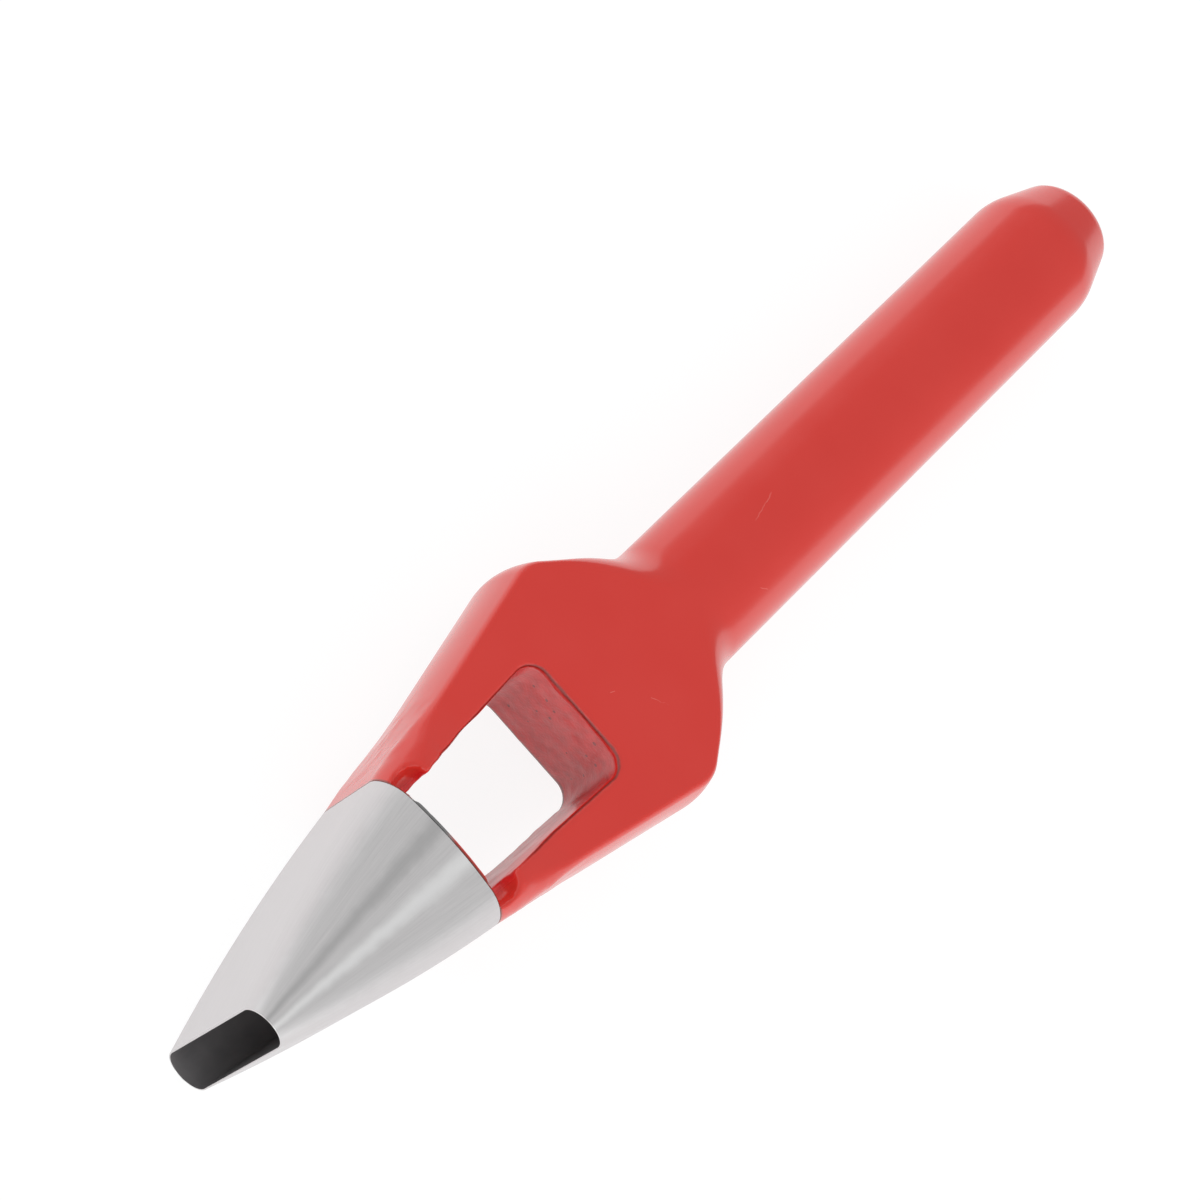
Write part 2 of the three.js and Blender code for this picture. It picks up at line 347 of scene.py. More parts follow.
def section_at(x):
    """Half width, half depth, corner radius, crown and draft of the section across the tool."""
    half_width = np.interp(x, OUTLINE[:, 0], OUTLINE[:, 1])
    bell = np.clip(x / BELL_HEIGHT, 0, 1)
    arm = smooth((x - BELL_HEIGHT) / (BLADE_START - BELL_HEIGHT))
    swell = smooth((x - SHOULDER_HEIGHT) / (NECK_END - SHOULDER_HEIGHT))
    turn = smooth((x - CRISP_EDGE_END) / (NECK_END - CRISP_EDGE_END))
    half_depth = MOUTH_HALF_DEPTH + (BELL_SIDE_DEPTH - MOUTH_HALF_DEPTH) * bell
    half_depth = half_depth + (BLADE_HALF_THICKNESS - half_depth) * arm
    half_depth = half_depth + (SHANK_RADIUS - half_depth) * swell
    half_depth = np.where(x < NECK_END, half_depth, half_width)
    corner = MOUTH_HALF_WIDTH + (BELL_CORNER - MOUTH_HALF_WIDTH) * bell
    corner = corner + (BLADE_EDGE_ROUND - corner) * arm
    corner = corner + (SHANK_RADIUS - corner) * turn
    corner = np.minimum(corner, np.minimum(half_width, half_depth))
    crown = BELL_CROWN * bell * (1 - arm)
    draft = SIDE_DRAFT * arm * (1 - turn)
    return half_width, half_depth, corner, crown, draft


def outer_form(x, y, z):
    """Distance from the outer form of the tool, negative inside, with the struck end rounded over."""
    half_width, half_depth, corner, crown, draft = section_at(x)
    # The crown and the draft are taken out in rounds, because each depends on the other
    flat_y, flat_z = y, z
    for _ in range(SECTION_ROUNDS):
        across = np.clip(flat_y / half_width, -SECTION_LIMIT, SECTION_LIMIT)
        through = np.clip(flat_z / half_depth, -SECTION_LIMIT, SECTION_LIMIT)
        flat_z = z / (1 + crown / half_depth * (1 - across ** 2))
        flat_y = y / (1 - draft / half_width * through ** 2)
    past_y = np.abs(flat_y) - half_width + corner
    past_z = np.abs(flat_z) - half_depth + corner
    outside = np.hypot(np.maximum(past_y, 0), np.maximum(past_z, 0))
    side = outside + np.minimum(np.maximum(past_y, past_z), 0) - corner
    return rounded_max(side, x - LENGTH, STRUCK_EDGE_ROUND)


def window_form(x, y):
    """Distance from the window's outline, negative inside it."""
    lean = (WINDOW_TOP_HALF_WIDTH - WINDOW_FOOT_HALF_WIDTH) / (WINDOW_TOP - BELL_HEIGHT)
    half_width = WINDOW_FOOT_HALF_WIDTH + lean * (x - BELL_HEIGHT)
    sides = (np.abs(y) - half_width) / math.hypot(1, lean)
    upper = rounded_max(sides, x - WINDOW_TOP, WINDOW_TOP_CORNER)
    return rounded_max(upper, BELL_HEIGHT - x, WINDOW_FOOT_CORNER)


def bore_section(x):
    """Half width and half depth of the slug bore, from the slot at the mouth to the window's foot."""
    share = np.clip(x / BELL_HEIGHT, 0, 1)
    slot_half_depth = MOUTH_HALF_DEPTH - EDGE_LAND
    throat_half_depth = BELL_SIDE_DEPTH + BELL_CROWN - BORE_WALL
    half_width = SLOT_HALF_WIDTH + (WINDOW_FOOT_HALF_WIDTH - SLOT_HALF_WIDTH) * share
    half_depth = slot_half_depth + (throat_half_depth - slot_half_depth) * share
    return half_width, half_depth


def bore_form(x, y, z):
    """Distance from the slug bore, negative inside it."""
    half_width, half_depth = bore_section(x)
    run = np.maximum(np.abs(z) - (half_depth - half_width), 0)
    return np.maximum(np.hypot(y, run) - half_width, x - BELL_HEIGHT)


def scoop_form(x, y, z):
    """Distance from the hollows beside the window's foot, where the arms leave the bell."""
    places = zip((x, np.abs(y), np.abs(z)), SCOOP_PLACE, SCOOP_REACH)
    squared = sum(((at - centre) / reach) ** 2 for at, centre, reach in places)
    hollow = (np.sqrt(squared) - 1) * min(SCOOP_REACH)
    return np.maximum(hollow, PAINT_LINE + SCOOP_LIP - x)


def window_wall(x, y, z):
    """How far a point of the skin lies on the window's wall: 1 on it, 0 on the outer faces."""
    near = smooth(WALL_REACH - np.abs(window_form(x, y)))
    return near * smooth((-WALL_START - outer_form(x, y, z)) / WALL_FADE)


def forged_skin(x, y, z):
    """How far the forged skin stands proud of the true form: lumpy in the window and on the arms."""
    low_arm = smooth((LOW_ARM_END - x) / LOW_ARM_FADE) * smooth((x - LOW_ARM_START) / FOOT_FADE)
    wall = window_wall(x, y, z) * smooth((x - BELL_HEIGHT) / FOOT_FADE)
    uneven = np.maximum(wall, LOW_ARM_SHARE * low_arm)
    rough = uneven > 0
    places = [at[rough] for at in (x, y, z)]
    proud = np.zeros_like(uneven)
    coarse = LUMP_HEIGHT * lumps(*places, LUMP_SIZE, LUMP_SEED)
    fine = PIT_DEPTH * lumps(*places, PIT_SIZE, PIT_SEED)
    proud[rough] = uneven[rough] * (coarse + fine)
    return proud


def painted_form(x, y, z):
    """The whole painted forging, negative inside: outer form less window, bore and scoops."""
    edge_share = smooth((x - BELL_HEIGHT) / FOOT_FADE)
    edge_round = RIM_EDGE_ROUND + (WINDOW_EDGE_ROUND - RIM_EDGE_ROUND) * edge_share
    body = rounded_max(outer_form(x, y, z), -window_form(x, y), edge_round)
    body = np.maximum(body, -bore_form(x, y, z))
    body = soft_max(body, -scoop_form(x, y, z), SCOOP_MELT)
    return body - forged_skin(x, y, z)


def slope(form, points):
    """The direction in which a form grows at each point, and how fast."""
    found = np.empty_like(points)
    for axis in range(3):
        step = np.zeros(3)
        step[axis] = SLOPE_REACH
        found[:, axis] = (form(*(points + step).T) - form(*(points - step).T)) / (2 * SLOPE_REACH)
    speed = np.maximum(np.linalg.norm(found, axis=1), LEAST_SLOPE)[:, None]
    return found / speed, speed


def skin_of(form, low, high, step):
    """Points and four-sided faces on the surface of a form, found cell by cell, edges kept sharp."""
    low = np.array(low, float)
    counts = np.ceil((np.array(high) - low) / step).astype(int) + 1
    axes = [low[axis] + step * np.arange(counts[axis]) for axis in range(3)]
    value = form(*np.meshgrid(*axes, indexing="ij"))
    # Where the surface crosses the grid's lines, and the four cells round each crossing
    crossings, owners, flips = [], [], []
    for axis in range(3):
        ahead, side, up = np.roll(np.eye(3, dtype=int), axis, axis=1)
        first = value[tuple(slice(0, count - move) for count, move in zip(counts, ahead))]
        second = value[tuple(slice(move, count) for count, move in zip(counts, ahead))]
        at = np.argwhere((first < 0) != (second < 0))
        at = at[np.all((at >= 1 - ahead) & (at <= counts - 2), axis=1)]
        here = first[tuple(at.T)]
        there = second[tuple(at.T)]
        around = [at - side - up, at - up, at, at - side]
        owners.append(np.stack([np.ravel_multi_index(cell.T, counts - 1) for cell in around], axis=1))
        crossings.append(low + step * (at + ahead * (here / (here - there))[:, None]))
        flips.append(here > 0)
    crossings = np.vstack(crossings)
    flips = np.concatenate(flips)
    # One point for each cell that the surface passes through, and one face for each crossing
    used, faces = np.unique(np.vstack(owners), return_inverse=True)
    faces = faces.reshape(-1, 4)
    points, creased = cell_points(crossings, slope(form, crossings)[0], faces, len(used), step)
    faces[flips] = faces[flips][:, ::-1]
    for _ in range(RELAX_ROUNDS):
        points = relaxed(form, points, faces, creased)
    return points, faces


def cell_points(crossings, normals, faces, count, step):
    """The point in each cell that best meets the planes of its crossings, and where they disagree."""
    spread = np.zeros((count, 3, 3))
    pull = np.zeros((count, 3))
    middle = np.zeros((count, 3))
    facing = np.zeros((count, 3))
    tally = np.zeros(count)
    plane = np.einsum("ij,ij->i", normals, crossings)
    for corner in range(4):
        np.add.at(spread, faces[:, corner], normals[:, :, None] * normals[:, None, :])
        np.add.at(pull, faces[:, corner], normals * plane[:, None])
        np.add.at(middle, faces[:, corner], crossings)
        np.add.at(facing, faces[:, corner], normals)
        np.add.at(tally, faces[:, corner], 1)
    middle /= tally[:, None]
    off = pull - np.einsum("nij,nj->ni", spread, middle)
    shift = np.linalg.solve(spread + CREASE_HOLD * np.eye(3), off[..., None])[..., 0]
    creased = np.linalg.norm(facing, axis=1) < CREASE_SHARE * tally
    return middle + np.clip(shift, -step, step), creased


def relaxed(form, points, faces, creased):
    """Points evened out along the surface and set back on it, with those on creases left alone."""
    total = np.zeros_like(points)
    tally = np.zeros(len(points))
    for corner in range(4):
        for neighbour in (corner - 1, (corner + 1) % 4):
            np.add.at(total, faces[:, corner], points[faces[:, neighbour]])
            np.add.at(tally, faces[:, corner], 1)
    moved = (points + total / tally[:, None]) / 2
    direction, speed = slope(form, moved)
    moved -= direction * (form(*moved.T)[:, None] / speed)
    return np.where(creased[:, None], points, moved)


def to_row(points):
    """Tool millimetres to metres on the frame."""
    return (points + (cad_low.x / MM, 0, AXIS_HEIGHT)) * MM


def points_of(mesh):
    """A mesh's points as tool millimetres."""
    flat = np.empty(len(mesh.vertices) * 3)
    mesh.vertices.foreach_get("co", flat)
    return flat.reshape(-1, 3) / MM - (cad_low.x / MM, 0, AXIS_HEIGHT)


def mesh_object(name, points, faces):
    """A new object in the scene, from points in tool millimetres."""
    mesh = bpy.data.meshes.new(name)
    mesh.from_pydata(to_row(points).tolist(), [], [list(map(int, face)) for face in faces])
    piece = bpy.data.objects.new(name, mesh)
    bpy.context.scene.collection.objects.link(piece)
    return piece


def shade_soft(mesh, crease_degrees):
    """Smooth faces, with creases left sharp."""
    work = bmesh.new()
    work.from_mesh(mesh)
    for face in work.faces:
        face.smooth = True
    for edge in work.edges:
        edge.smooth = edge.calc_face_angle(0) < math.radians(crease_degrees)
    work.to_mesh(mesh)
    work.free()


def give_points(mesh, name, values, kind="FLOAT", field="value"):
    """A value for each point of a mesh, for its material to read."""
    attribute = mesh.attributes.new(name, kind, "POINT")
    attribute.data.foreach_set(field, values.astype(np.float32).ravel())


def keep_above_paint_line(work):
    """Cuts away what a mesh being worked on has below the paint line, and leaves it open there."""
    everything = work.verts[:] + work.edges[:] + work.faces[:]
    line = Vector(to_row(np.array([PAINT_LINE, 0, 0])))
    bmesh.ops.bisect_plane(
        work,
        geom=everything,
        plane_co=line,
        plane_no=(1, 0, 0),
        clear_inner=True,
        dist=CUT_DISTANCE * MM,
    )


def open_skin():
    """The painted form's skin, cut off at the paint line, and the edge that this leaves open."""
    side_reach = SHOULDER_HALF_WIDTH + COAT_MARGIN
    low = (PAINT_LINE - PAINT_LINE_MARGIN, -side_reach, -AXIS_HEIGHT)
    high = (LENGTH + COAT_MARGIN, side_reach, AXIS_HEIGHT)
    points, faces = skin_of(painted_form, low, high, COAT_STEP)
    skin = mesh_object("open_skin", points, faces)
    work = bmesh.new()
    work.from_mesh(skin.data)
    keep_above_paint_line(work)
    work.verts.index_update()
    work.to_mesh(skin.data)
    edge = []
    for side in work.edges:
        if side.is_boundary:
            loop = side.link_loops[0]
            edge.append((loop.vert.index, loop.link_loop_next.vert.index))
    work.free()
    points = points_of(skin.data)
    faces = [list(face.vertices) for face in skin.data.polygons]
    bpy.data.objects.remove(skin)
    return points, faces, edge


def rubbed_rim(x, y, z):
    """1 where the rim at the window's foot is rubbed to bare metal, on one half of the front edge."""
    on_rim = smooth((BELL_HEIGHT + RUB_DEPTH - x) / RUB_DEPTH_FADE)
    on_rim = on_rim * smooth((WINDOW_FOOT_HALF_WIDTH - np.abs(y)) / RUB_END_FADE)
    near_outside = smooth((outer_form(x, y, z) + RUB_WIDTH) / RUB_WIDTH_FADE)
    return on_rim * near_outside * smooth((y - RUB_START) / RUB_START_FADE) * (z > 0)


def lacquer_piece():
    """The coat: the skin from the paint line up, an inner wall under it, and a rim between them."""
    points, faces, edge = open_skin()
    inner = points - COAT_THICKNESS * slope(painted_form, points)[0]
    inner[:, 0] = np.maximum(inner[:, 0], PAINT_LINE)
    count = len(points)
    inside = [[corner + count for corner in reversed(face)] for face in faces]
    rim = [[second, first, first + count, second + count] for first, second in edge]
    piece = mesh_object("lacquer_skin", np.vstack([points, inner]), faces + inside + rim)
    mesh = piece.data
    shade_soft(mesh, LACQUER_CREASE_DEGREES)
    x, y, z = points_of(mesh).T
    inside_back_rim = BACK_LINE_DEPTH * smooth(-z)
    give_points(mesh, "window", window_wall(x, y, z))
    give_points(mesh, "window_edge", window_form(x, y) + outer_form(x, y, z) + inside_back_rim)
    give_points(mesh, "from_paint_line", x - PAINT_LINE)
    give_points(mesh, "rubbed", rubbed_rim(x, y, z))
    mesh.materials.append(MATERIALS["lacquer"])
    return piece


def ring_of(x, half_width, half_depth, corner, crown=0, draft=0):
    """Points round a rounded rectangle, crowned on its broad faces and drafted on its sides."""
    flat_width = half_width - corner
    flat_depth = half_depth - corner
    points = []
    for quarter in range(4):
        y_sign = 1 if quarter in (0, 3) else -1
        z_sign = 1 if quarter < 2 else -1
        angles = (quarter + np.linspace(0, 1, RING_CORNER_STEPS + 1)) * math.pi / 2
        points.append(np.c_[y_sign * flat_width + corner * np.cos(angles),
                            z_sign * flat_depth + corner * np.sin(angles)])
        broad = quarter % 2 == 0
        steps = RING_FRONT_STEPS if broad else RING_SIDE_STEPS
        run = 1 - 2 * np.arange(1, steps) / steps
        level = np.ones_like(run)
        across = flat_width * run if broad else half_width * level
        through = half_depth * level if broad else flat_depth * run
        points.append(np.c_[y_sign * across, z_sign * through])
    y, z = np.vstack(points).T
    lean = draft * (z / half_depth) ** 2 * (y / half_width)
    bulge = crown * (z / half_depth) * (1 - (y / half_width) ** 2)
    return np.c_[np.full_like(y, x), y - lean, z + bulge]


def section_ring(x, inset):
    """Points round the outer form at one place along the tool, drawn in by an inset."""
    half_width, half_depth, corner, crown, draft = (float(size) for size in section_at(x))
    half_width -= inset
    half_depth -= inset
    corner = min(max(corner - inset, LEAST_ROUND), half_width - LEAST_FLAT, half_depth - LEAST_FLAT)
    return ring_of(x, half_width, half_depth, corner, crown, draft)


def loft(name, rings):
    """A closed body skinned over rings of points, with a flat cap on its first and last ring."""
    count = len(rings[0])
    faces = [list(range(count))[::-1]]
    for ring in range(len(rings) - 1):
        low = ring * count
        for side in range(count):
            after = (side + 1) % count
            faces.append([low + side, low + after, low + count + after, low + count + side])
    faces.append([(len(rings) - 1) * count + side for side in range(count)])
    return mesh_object(name, np.vstack(rings), faces)


def carve(piece, cutter):
    """Cuts one body out of another and removes the cutting body."""
    cut = piece.modifiers.new("cut", "BOOLEAN")
    cut.operation = "DIFFERENCE"
    cut.solver = "EXACT"
    cut.object = cutter
    graph = bpy.context.evaluated_depsgraph_get()
    made = bpy.data.meshes.new_from_object(piece.evaluated_get(graph))
    piece.modifiers.clear()
    piece.data = made
    bpy.data.objects.remove(cutter)


def bore_cutter():
    """The slug bore, run out past the mouth and into the window."""
    along = np.linspace(0, BELL_HEIGHT, BORE_RINGS)
    rings = []
    for x in (-CUTTER_OVERRUN, *along, BELL_HEIGHT + CUTTER_OVERRUN):
        half_width, half_depth = (float(size) for size in bore_section(x))
        rings.append(ring_of(x, half_width, half_depth, half_width - LEAST_FLAT))
    return loft("bore_cutter", rings)


def window_cutter():
    """A straight prism for the steel under the lacquer, wider than the lined window by the coat."""
    foot = PAINT_LINE - PAINT_GROOVE
    top = WINDOW_TOP + CORE_INSET
    foot_half = WINDOW_FOOT_HALF_WIDTH + CORE_INSET
    top_half = WINDOW_TOP_HALF_WIDTH + CORE_INSET
    low_turn = top - WINDOW_TOP_CORNER
    near_turn = top_half - WINDOW_TOP_CORNER
    outline = np.vstack([
        [[foot, foot_half], [foot, -foot_half]],
        bend(np.array([low_turn, -top_half]), np.array([top, -top_half]), np.array([top, -near_turn])),
        bend(np.array([top, near_turn]), np.array([top, top_half]), np.array([low_turn, top_half])),
    ])
    reach = BELL_SIDE_DEPTH * 2
    return loft("window_cutter", [np.c_[outline, np.full(len(outline), z)] for z in (-reach, reach)])


def scoop_cutter():
    """Round bodies that keep the steel clear of the lacquer in the four hollows above the rim."""
    work = bmesh.new()
    reach = (np.array(SCOOP_REACH) + CORE_INSET + SCOOP_MELT / 4) * MM
    for y_sign in (1, -1):
        for z_sign in (1, -1):
            centre = to_row(np.array(SCOOP_PLACE) * (1, y_sign, z_sign))
            place = Matrix.LocRotScale(Vector(centre), None, Vector(reach))
            bmesh.ops.create_uvsphere(
                work,
                u_segments=SCOOP_SEGMENTS,
                v_segments=SCOOP_SEGMENTS // 2,
                radius=1,
                matrix=place,
            )
    keep_above_paint_line(work)
    bmesh.ops.holes_fill(work, edges=[edge for edge in work.edges if edge.is_boundary])
    mesh = bpy.data.meshes.new("scoop_cutter")
    work.to_mesh(mesh)
    work.free()
    cutter = bpy.data.objects.new("scoop_cutter", mesh)
    bpy.context.scene.collection.objects.link(cutter)
    return cutter


def steel_piece():
    """The forging: full size at the bare tip, drawn in under the lacquer from the paint line up."""
    tip_end = PAINT_LINE - PAINT_GROOVE
    core_end = LENGTH - CORE_INSET
    bevel_start = core_end - CORE_BEVEL
    tip = [section_ring(x, 0) for x in np.linspace(0, tip_end, TIP_RINGS)]
    core = [section_ring(x, CORE_INSET) for x in np.linspace(tip_end, bevel_start, CORE_RINGS)]
    core.append(section_ring(core_end, CORE_INSET + CORE_BEVEL))
    piece = loft("steel_forging", tip + core)
    cutter = bore_cutter()
    for body in (piece, cutter):
        body.data.materials.append(MATERIALS["steel"])
        body.data.materials.append(MATERIALS["bore"])
    for face in cutter.data.polygons:
        face.material_index = 1
    carve(piece, window_cutter())
    carve(piece, scoop_cutter())
    carve(piece, cutter)
    shade_soft(piece.data, STEEL_CREASE_DEGREES)
    x, y, z = points_of(piece.data).T
    half_width, half_depth = section_at(x)[:2]
    turn = np.arctan2(z / half_depth, y / half_width)
    along_grind = np.c_[np.cos(turn), np.sin(turn), x / LENGTH]
    give_points(piece.data, "grind", along_grind, "FLOAT_VECTOR", "vector")
    return piece


class Nodes:
    """Adds shader nodes to one tree and links them by socket."""

    def __init__(self, tree):
        self.tree = tree
        tree.nodes.clear()

    def add(self, kind, inputs=None, **settings):
        node = self.tree.nodes.new(kind)
        for name, value in settings.items():
            setattr(node, name, value)
        for name, value in (inputs or {}).items():
            if isinstance(value, bpy.types.NodeSocket):
                self.tree.links.new(value, node.inputs[name])
            else:
                node.inputs[name].default_value = value
        return node

    def maths(self, operation, first, second=0.0):
        return self.add("ShaderNodeMath", {0: first, 1: second}, operation=operation).outputs[0]

    def vector(self, operation, first, second):
        outputs = self.add("ShaderNodeVectorMath", {0: first, 1: second}, operation=operation).outputs
        return outputs["Value" if operation in ("DOT_PRODUCT", "DISTANCE") else "Vector"]

    def noise(self, where, scale, detail=2.0, roughness=0.5):
        inputs = {"Vector": where, "Scale": scale, "Detail": detail, "Roughness": roughness}
        return self.add("ShaderNodeTexNoise", inputs).outputs["Fac"]

    def between(self, value, start, end, low=0.0, high=1.0):
        """A smooth step from low to high as a value goes from start to end."""
        inputs = {"Value": value, "From Min": start, "From Max": end, "To Min": low, "To Max": high}
        return self.add("ShaderNodeMapRange", inputs, interpolation_type="SMOOTHSTEP").outputs["Result"]

    def mix(self, share, first, second):
        inputs = {"Factor": share, 6: first, 7: second}
        return self.add("ShaderNodeMix", inputs, data_type="RGBA").outputs[2]

    def attribute(self, name):
        return self.add("ShaderNodeAttribute", attribute_name=name).outputs

    def place(self):
        """The place on the tool, in millimetres on the frame."""
        where = self.add("ShaderNodeTexCoord").outputs["Object"]
        return self.scaled(where, 1 / MM)

    def scaled(self, vector, scale):
        inputs = {0: vector, "Scale": scale}
        return self.add("ShaderNodeVectorMath", inputs, operation="SCALE").outputs[0]

    def bump(self, height, distance, strength):
        inputs = {"Strength": strength, "Distance": distance * MM, "Height": height}
        return self.add("ShaderNodeBump", inputs).outputs["Normal"]

    def seen(self):
        """1 for rays that show the studio itself: from the camera, or by way of gloss or glass."""
        path = self.add("ShaderNodeLightPath").outputs
        straight = self.maths("MAXIMUM", path["Is Camera Ray"], path["Is Glossy Ray"])
        return self.maths("MAXIMUM", straight, path["Is Transmission Ray"])


def new_material(name):
    """A material with an empty node tree, and the means to fill it."""
    material = bpy.data.materials.new(name)
    material.use_nodes = True
    return material, Nodes(material.node_tree)


def finish_material(nodes, inputs):
    """Ends a material's nodes in one shader with these inputs."""
    shader = nodes.add("ShaderNodeBsdfPrincipled", inputs)
    nodes.add("ShaderNodeOutputMaterial", {"Surface": shader.outputs[0]})


def scratch_mask(nodes, place):
    """1 on the fine scratches in the lacquer, 0 elsewhere, with a slight wander in their lines."""
    noise = {"Vector": place, "Scale": SCRATCH_WANDER_SCALE}
    wander = nodes.add("ShaderNodeTexNoise", noise).outputs["Color"]
    wander = nodes.vector("SUBTRACT", wander, (0.5, 0.5, 0.5))
    wander = nodes.vector("MULTIPLY", wander, SCRATCH_WANDER)
    place = nodes.vector("ADD", place, wander)
    nearest = None
    for ends in SCRATCHES:
        start, end = to_row(np.array(ends)) / MM
        run = end - start
        along = nodes.vector("SUBTRACT", place, start)
        share = nodes.vector("DOT_PRODUCT", along, run / (run @ run))
        share = nodes.add("ShaderNodeClamp", {"Value": share}).outputs[0]
        gap = nodes.vector("DISTANCE", along, nodes.scaled(run, share))
        nearest = gap if nearest is None else nodes.maths("MINIMUM", nearest, gap)
    return nodes.between(nearest, SCRATCH_WIDTH / 2, SCRATCH_WIDTH, 1, 0)


def speck_mask(nodes, place, window):
    """1 on small specks of dirt in the lacquer on the window's wall, 0 elsewhere."""
    cells = nodes.add("ShaderNodeTexVoronoi", {"Vector": place, "Scale": SPECK_SCALE}).outputs
    chance = nodes.add("ShaderNodeSeparateColor", {"Color": cells["Color"]}).outputs
    size = nodes.between(chance["Green"], 0, 1, *SPECK_SIZES)
    inside = nodes.maths("LESS_THAN", cells["Distance"], size)
    wanted = nodes.maths("LESS_THAN", chance["Red"], nodes.maths("MULTIPLY", window, SPECK_CHANCE))
    return nodes.maths("MULTIPLY", inside, wanted)


def lacquer_material():
    """Gloss lacquer, rougher and dusty on the window's wall, where its mottled red is partly lifted as
    painted light against the wall's shade, with dark lines where it ends and along the window.
    """
    material, nodes = new_material("red_lacquer")
    place = nodes.place()
    window = nodes.attribute("window")["Fac"]
    from_line = nodes.attribute("from_paint_line")["Fac"]
    rubbed = nodes.attribute("rubbed")["Fac"]
    cloud = nodes.noise(place, CLOUD_SCALE)
    colour = nodes.mix(cloud, *LACQUER_REDS)
    mottle = nodes.noise(place, MOTTLE_SCALE, detail=3)
    # Mottled red on the window's wall, partly lifted as painted light against the wall's shade
    colour = nodes.mix(window, colour, nodes.mix(mottle, *WINDOW_MOTTLED_LIT_REDS))
    edge = nodes.between(from_line, *PAINT_LINE_FADE, PAINT_LINE_SHARE, 0)
    colour = nodes.mix(edge, colour, PAINT_LINE_BROWN)
    wavy = nodes.maths("MULTIPLY", mottle, RIM_LINE_WAVE)
    from_edge = nodes.maths("ADD", nodes.attribute("window_edge")["Fac"], wavy)
    thin = nodes.between(nodes.maths("ABSOLUTE", from_edge), *RIM_LINE_FADE, RIM_LINE_SHARE, 0)
    thin = nodes.maths("MULTIPLY", thin, nodes.between(from_line, *RIM_LINE_START))
    colour = nodes.mix(thin, colour, RIM_LINE_BROWN)
    colour = nodes.mix(speck_mask(nodes, place, window), colour, SPECK_BROWN)
    scratches = scratch_mask(nodes, place)
    colour = nodes.mix(nodes.maths("MULTIPLY", scratches, SCRATCH_SHARE), colour, SCRATCH_PINK)
    colour = nodes.mix(rubbed, colour, RUBBED_METAL)
    rough = nodes.between(cloud, *NOISE_SPREAD, *LACQUER_ROUGHNESS)
    rough = nodes.maths("ADD", rough, nodes.maths("MULTIPLY", window, WINDOW_ADDED_ROUGHNESS))
    peel = nodes.noise(place, PEEL_SCALE, detail=1)
    grain = nodes.maths("MULTIPLY", window, nodes.noise(place, GRAIN_SCALE, detail=3))
    height = nodes.maths("ADD", peel, nodes.maths("MULTIPLY", grain, GRAIN_TO_PEEL))
    normal = nodes.bump(nodes.maths("SUBTRACT", height, scratches), *LACQUER_BUMP)
    finish_material(nodes, {
        "Base Color": colour,
        "Metallic": rubbed,
        "Roughness": rough,
        "Normal": normal,
        "IOR": LACQUER_IOR,
    })
    return material


def steel_material():
    """Steel ground along its length, with marks, a painted dark reflection band and a painted highlight
    band that run together at the mouth, and painted shade on its sides.
    """
    material, nodes = new_material("ground_steel")
    grind = nodes.attribute("grind")["Vector"]
    stretched = nodes.vector("MULTIPLY", grind, GRIND_STRETCH)
    marks = nodes.noise(stretched, scale=1.0, detail=5, roughness=0.7)
    blotch = nodes.noise(nodes.place(), BLOTCH_SCALE, detail=3)
    around = nodes.add("ShaderNodeSeparateXYZ", {"Vector": grind}).outputs
    side = nodes.maths("SIGN", around["Y"])
    wander = nodes.maths("MULTIPLY", nodes.maths("SUBTRACT", blotch, 0.5), REFLECTION_BAND_WANDER)
    across = nodes.maths("ADD", nodes.maths("MULTIPLY", around["X"], side), wander)
    # Painted reflections on the steel: a dark band on one side of each broad face's middle, a painted
    # highlight on the other
    from_dark_reflection = nodes.maths("ABSOLUTE", nodes.maths("SUBTRACT", across, REFLECTION_BAND_PLACE))
    from_highlight = nodes.maths("ABSOLUTE", nodes.maths("ADD", across, REFLECTION_BAND_PLACE))
    dark = nodes.between(from_dark_reflection, 0, REFLECTION_BAND_REACH, DARK_REFLECTION_SHARE, 0)
    light = nodes.between(from_highlight, 0, REFLECTION_BAND_REACH, 1, 0)
    # Painted shade: the steel darker and pinker towards the sides of each broad face
    side_shade = nodes.between(nodes.maths("ABSOLUTE", across), *SIDE_SHADE_SPAN, 0, SIDE_SHADE_SHARE)
    colour = nodes.mix(marks, *STEEL_GREYS)
    colour = nodes.mix(dark, colour, STEEL_PAINTED_DARK_REFLECTION)
    colour = nodes.mix(light, colour, STEEL_PAINTED_HIGHLIGHT)
    colour = nodes.mix(side_shade, colour, STEEL_SIDE_SHADE)
    rough = nodes.between(marks, *NOISE_SPREAD, *STEEL_ROUGHNESS)
    normal = nodes.bump(nodes.maths("ADD", marks, blotch), *STEEL_BUMP)
    finish_material(nodes, {
        "Base Color": colour,
        "Metallic": STEEL_METALLIC,
        "Roughness": rough,
        "Normal": normal,
    })
    return material


def bore_material():
    """Dark forge scale inside the slug bore."""
    material, nodes = new_material("bore_oxide")
    scale = nodes.noise(nodes.place(), FORGE_SCALE, detail=4)
    colour = nodes.mix(scale, *BORE_GREYS)
    rough = nodes.between(scale, *NOISE_SPREAD, *BORE_ROUGHNESS)
    finish_material(nodes, {"Base Color": colour, "Roughness": rough})
    return material


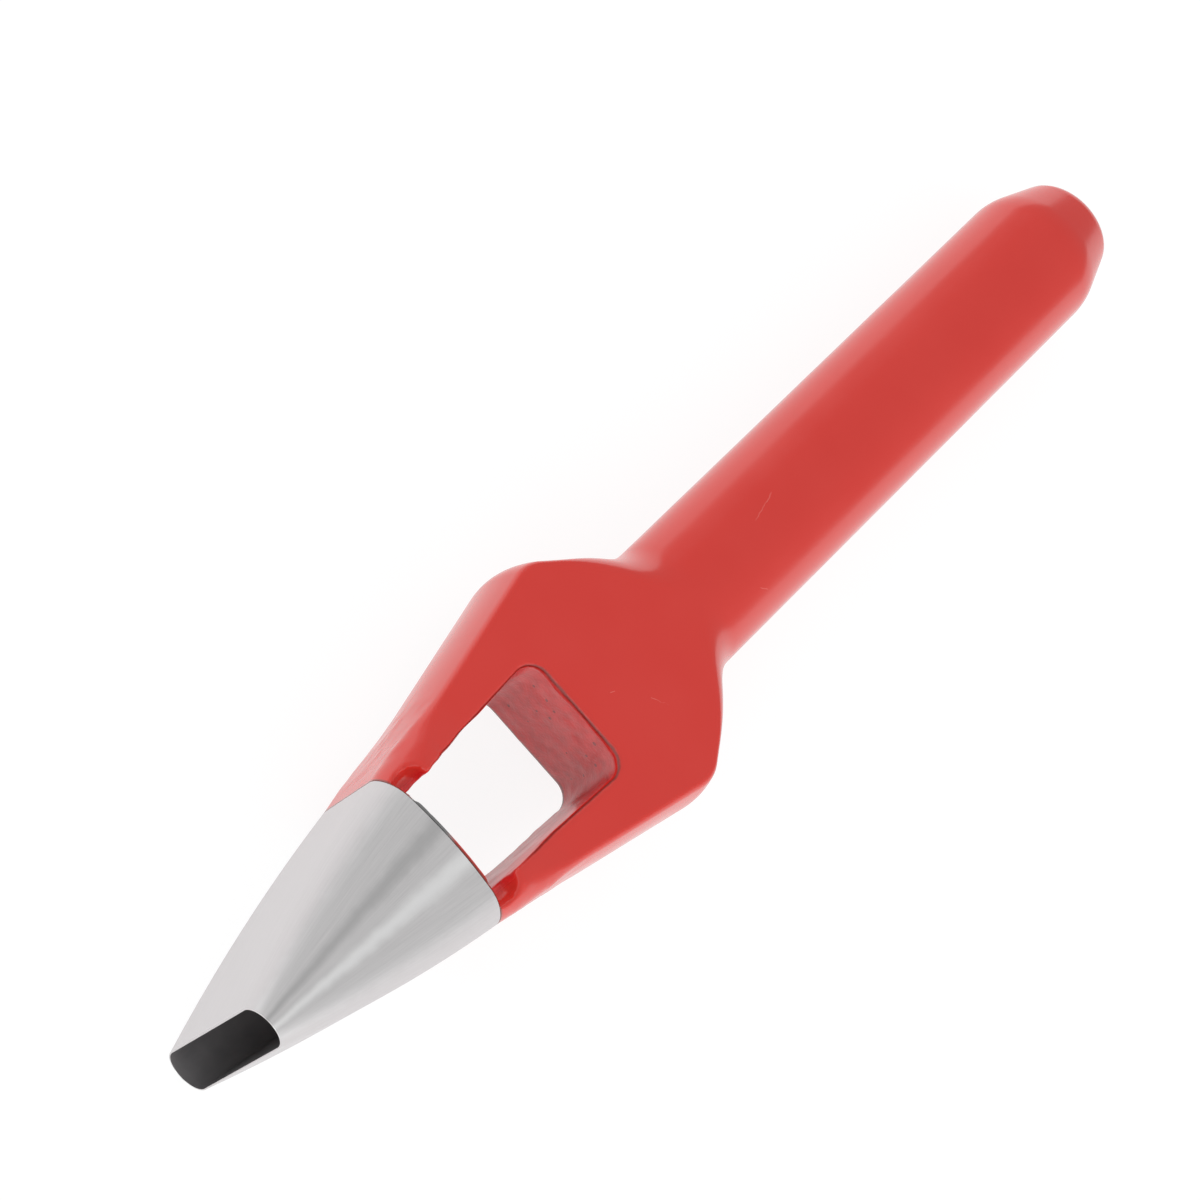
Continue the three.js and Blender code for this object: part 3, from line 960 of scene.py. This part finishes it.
def floor_material():
    """White paper that keeps a faint shadow."""
    material, nodes = new_material("white_floor")
    paper = nodes.add("ShaderNodeBsdfDiffuse", {"Color": (FLOOR_PAPER, FLOOR_PAPER, FLOOR_PAPER, 1)})
    faded = nodes.add("ShaderNodeBsdfDiffuse", {"Color": (FLOOR_SHADOW, FLOOR_SHADOW, FLOOR_SHADOW, 1)})
    lift = nodes.add("ShaderNodeEmission", {"Strength": FLOOR_WHITE - FLOOR_SHADOW})
    white = nodes.add("ShaderNodeAddShader", {0: faded.outputs[0], 1: lift.outputs[0]})
    both = nodes.add("ShaderNodeMixShader", {0: nodes.seen(), 1: paper.outputs[0], 2: white.outputs[0]})
    nodes.add("ShaderNodeOutputMaterial", {"Surface": both.outputs[0]})
    return material


def studio_world():
    """White all round, with a dimmer ceiling for gloss to show and a plain fill for soft light."""
    world = bpy.data.worlds.new("studio")
    bpy.context.scene.world = world
    world.use_nodes = True
    nodes = Nodes(world.node_tree)
    direction = nodes.add("ShaderNodeTexCoord").outputs["Generated"]
    height = nodes.vector("DOT_PRODUCT", direction, CEILING_TOWARDS)
    level = nodes.between(height, *CEILING_FADE, 1.0, WORLD_OVERHEAD)
    straight = nodes.add("ShaderNodeLightPath").outputs["Is Camera Ray"]
    level = nodes.maths("MAXIMUM", level, straight)
    strength = nodes.add("ShaderNodeMix", {"Factor": nodes.seen(), 2: WORLD_FILL, 3: level}).outputs[0]
    light = nodes.add("ShaderNodeBackground", {"Color": (1, 1, 1, 1), "Strength": strength})
    nodes.add("ShaderNodeOutputWorld", {"Surface": light.outputs[0]})


def soft_box(name, towards, size, level):
    """A soft panel lamp that looks at the middle of the tool, and that gloss doesn't show."""
    width, height = size
    data = bpy.data.lights.new(name, "AREA")
    data.shape = "RECTANGLE"
    data.size = width
    data.size_y = height
    data.energy = level * math.pi * width * height
    lamp = bpy.data.objects.new(name, data)
    bpy.context.scene.collection.objects.link(lamp)
    away = Vector(towards).normalized()
    lamp.location = away * PANEL_DISTANCE
    lamp.rotation_euler = away.to_track_quat("Z", "Y").to_euler()
    lamp.visible_glossy = False


def floor():
    """A wide pale floor under the mouth's back edge and the end of the shank, where the tool rests."""
    work = bmesh.new()
    bmesh.ops.create_grid(work, x_segments=1, y_segments=1, size=FLOOR_HALF_SIZE)
    mesh = bpy.data.meshes.new("floor")
    work.to_mesh(mesh)
    work.free()
    plane = bpy.data.objects.new("floor", mesh)
    bpy.context.scene.collection.objects.link(plane)
    rise = (AXIS_HEIGHT - SHANK_RADIUS) / TAPER_START
    plane.rotation_euler = (0, -math.atan(rise), 0)
    plane.location = (0, 0, -cad_low.x * rise - FLOOR_GAP)
    mesh.materials.append(floor_material())


# Camera, fitted to the photograph, in millimetres and degrees
CAMERA_PLACE = (-261.77, 44.35, 425.53)
CAMERA_TURN = (19.215, -25.977, -47.006)
CAMERA_LENS = 133.45
CAMERA_SENSOR = 36
camera = bpy.data.objects.new("camera", bpy.data.cameras.new("camera"))
bpy.context.scene.collection.objects.link(camera)
camera.data.lens = CAMERA_LENS
camera.data.sensor_width = CAMERA_SENSOR
camera.location = Vector(CAMERA_PLACE) * MM
camera.rotation_euler = [math.radians(turn) for turn in CAMERA_TURN]
bpy.context.scene.camera = camera

MATERIALS = {"lacquer": lacquer_material(), "steel": steel_material(), "bore": bore_material()}

lacquer = lacquer_piece()
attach(lacquer, "root")
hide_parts("lacquer_coat")

steel = steel_piece()
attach(steel, "root")
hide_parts("forged_steel")

studio_world()
for name, (towards, size, level) in PANELS.items():
    soft_box(name, towards, size, level)
floor()
bpy.context.scene.view_settings.view_transform = "Standard"
